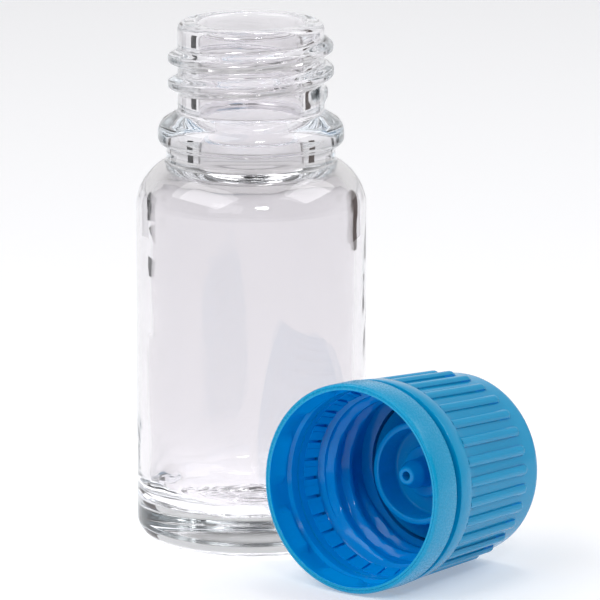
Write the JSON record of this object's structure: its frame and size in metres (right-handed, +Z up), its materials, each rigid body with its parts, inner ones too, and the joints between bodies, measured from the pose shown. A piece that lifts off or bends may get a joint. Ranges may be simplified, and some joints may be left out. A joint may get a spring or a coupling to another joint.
{
  "type": "prescription vial",
  "caption": "Small clear glass dropper vial with a screw-thread neck and its loose tamper-evident screw closure holding a dropper insert.",
  "frame": {"origin": "centre of the vial's recessed base panel, in the surface that the vial stands on", "axes": "+Z up along the vial's axis through its mouth; +X to the vial's right and +Y away from the side on which the loose closure's open end faces"},
  "size_m": [0.0432, 0.0453, 0.057],
  "materials": {
    "clear_glass": "fire-polished moulded flint glass",
    "cap_polypropylene": "injection-moulded cyan-blue polypropylene, semi-gloss",
    "ring_polypropylene": "injection-moulded cyan-blue polypropylene, fine matt grain outside",
    "insert_polyethylene": "injection-moulded blue polyethylene, satin"
  },
  "bodies": {
    "vial": {"glass_vial": "clear_glass"},
    "tamper_ring": {"tamper_ring": "ring_polypropylene"},
    "dropper_insert": {"dropper_insert": "insert_polyethylene"},
    "screw_cap": {"screw_cap": "cap_polypropylene"}
  },
  "joints": [
    {"name": "closure_pick_up", "type": "slide", "parent": "vial", "child": "tamper_ring", "axis": [0, 0, 1], "range_m": [0, 0.065]},
    {"name": "cap_rise", "type": "slide", "parent": "tamper_ring", "child": "dropper_insert", "axis": [0.587, 0.8079, -0.0528], "range_m": [0, 0.0064]},
    {"name": "cap_turn", "type": "hinge", "parent": "dropper_insert", "child": "screw_cap", "pos_m": [0.0106, -0.02641, 0.0114], "axis": [0.587, 0.8079, -0.0528], "range_deg": [0, 810]}
  ],
  "couplings": [
    {"joint": "cap_rise", "follows": "cap_turn", "m_per_rad": 0.00044563}
  ]
}
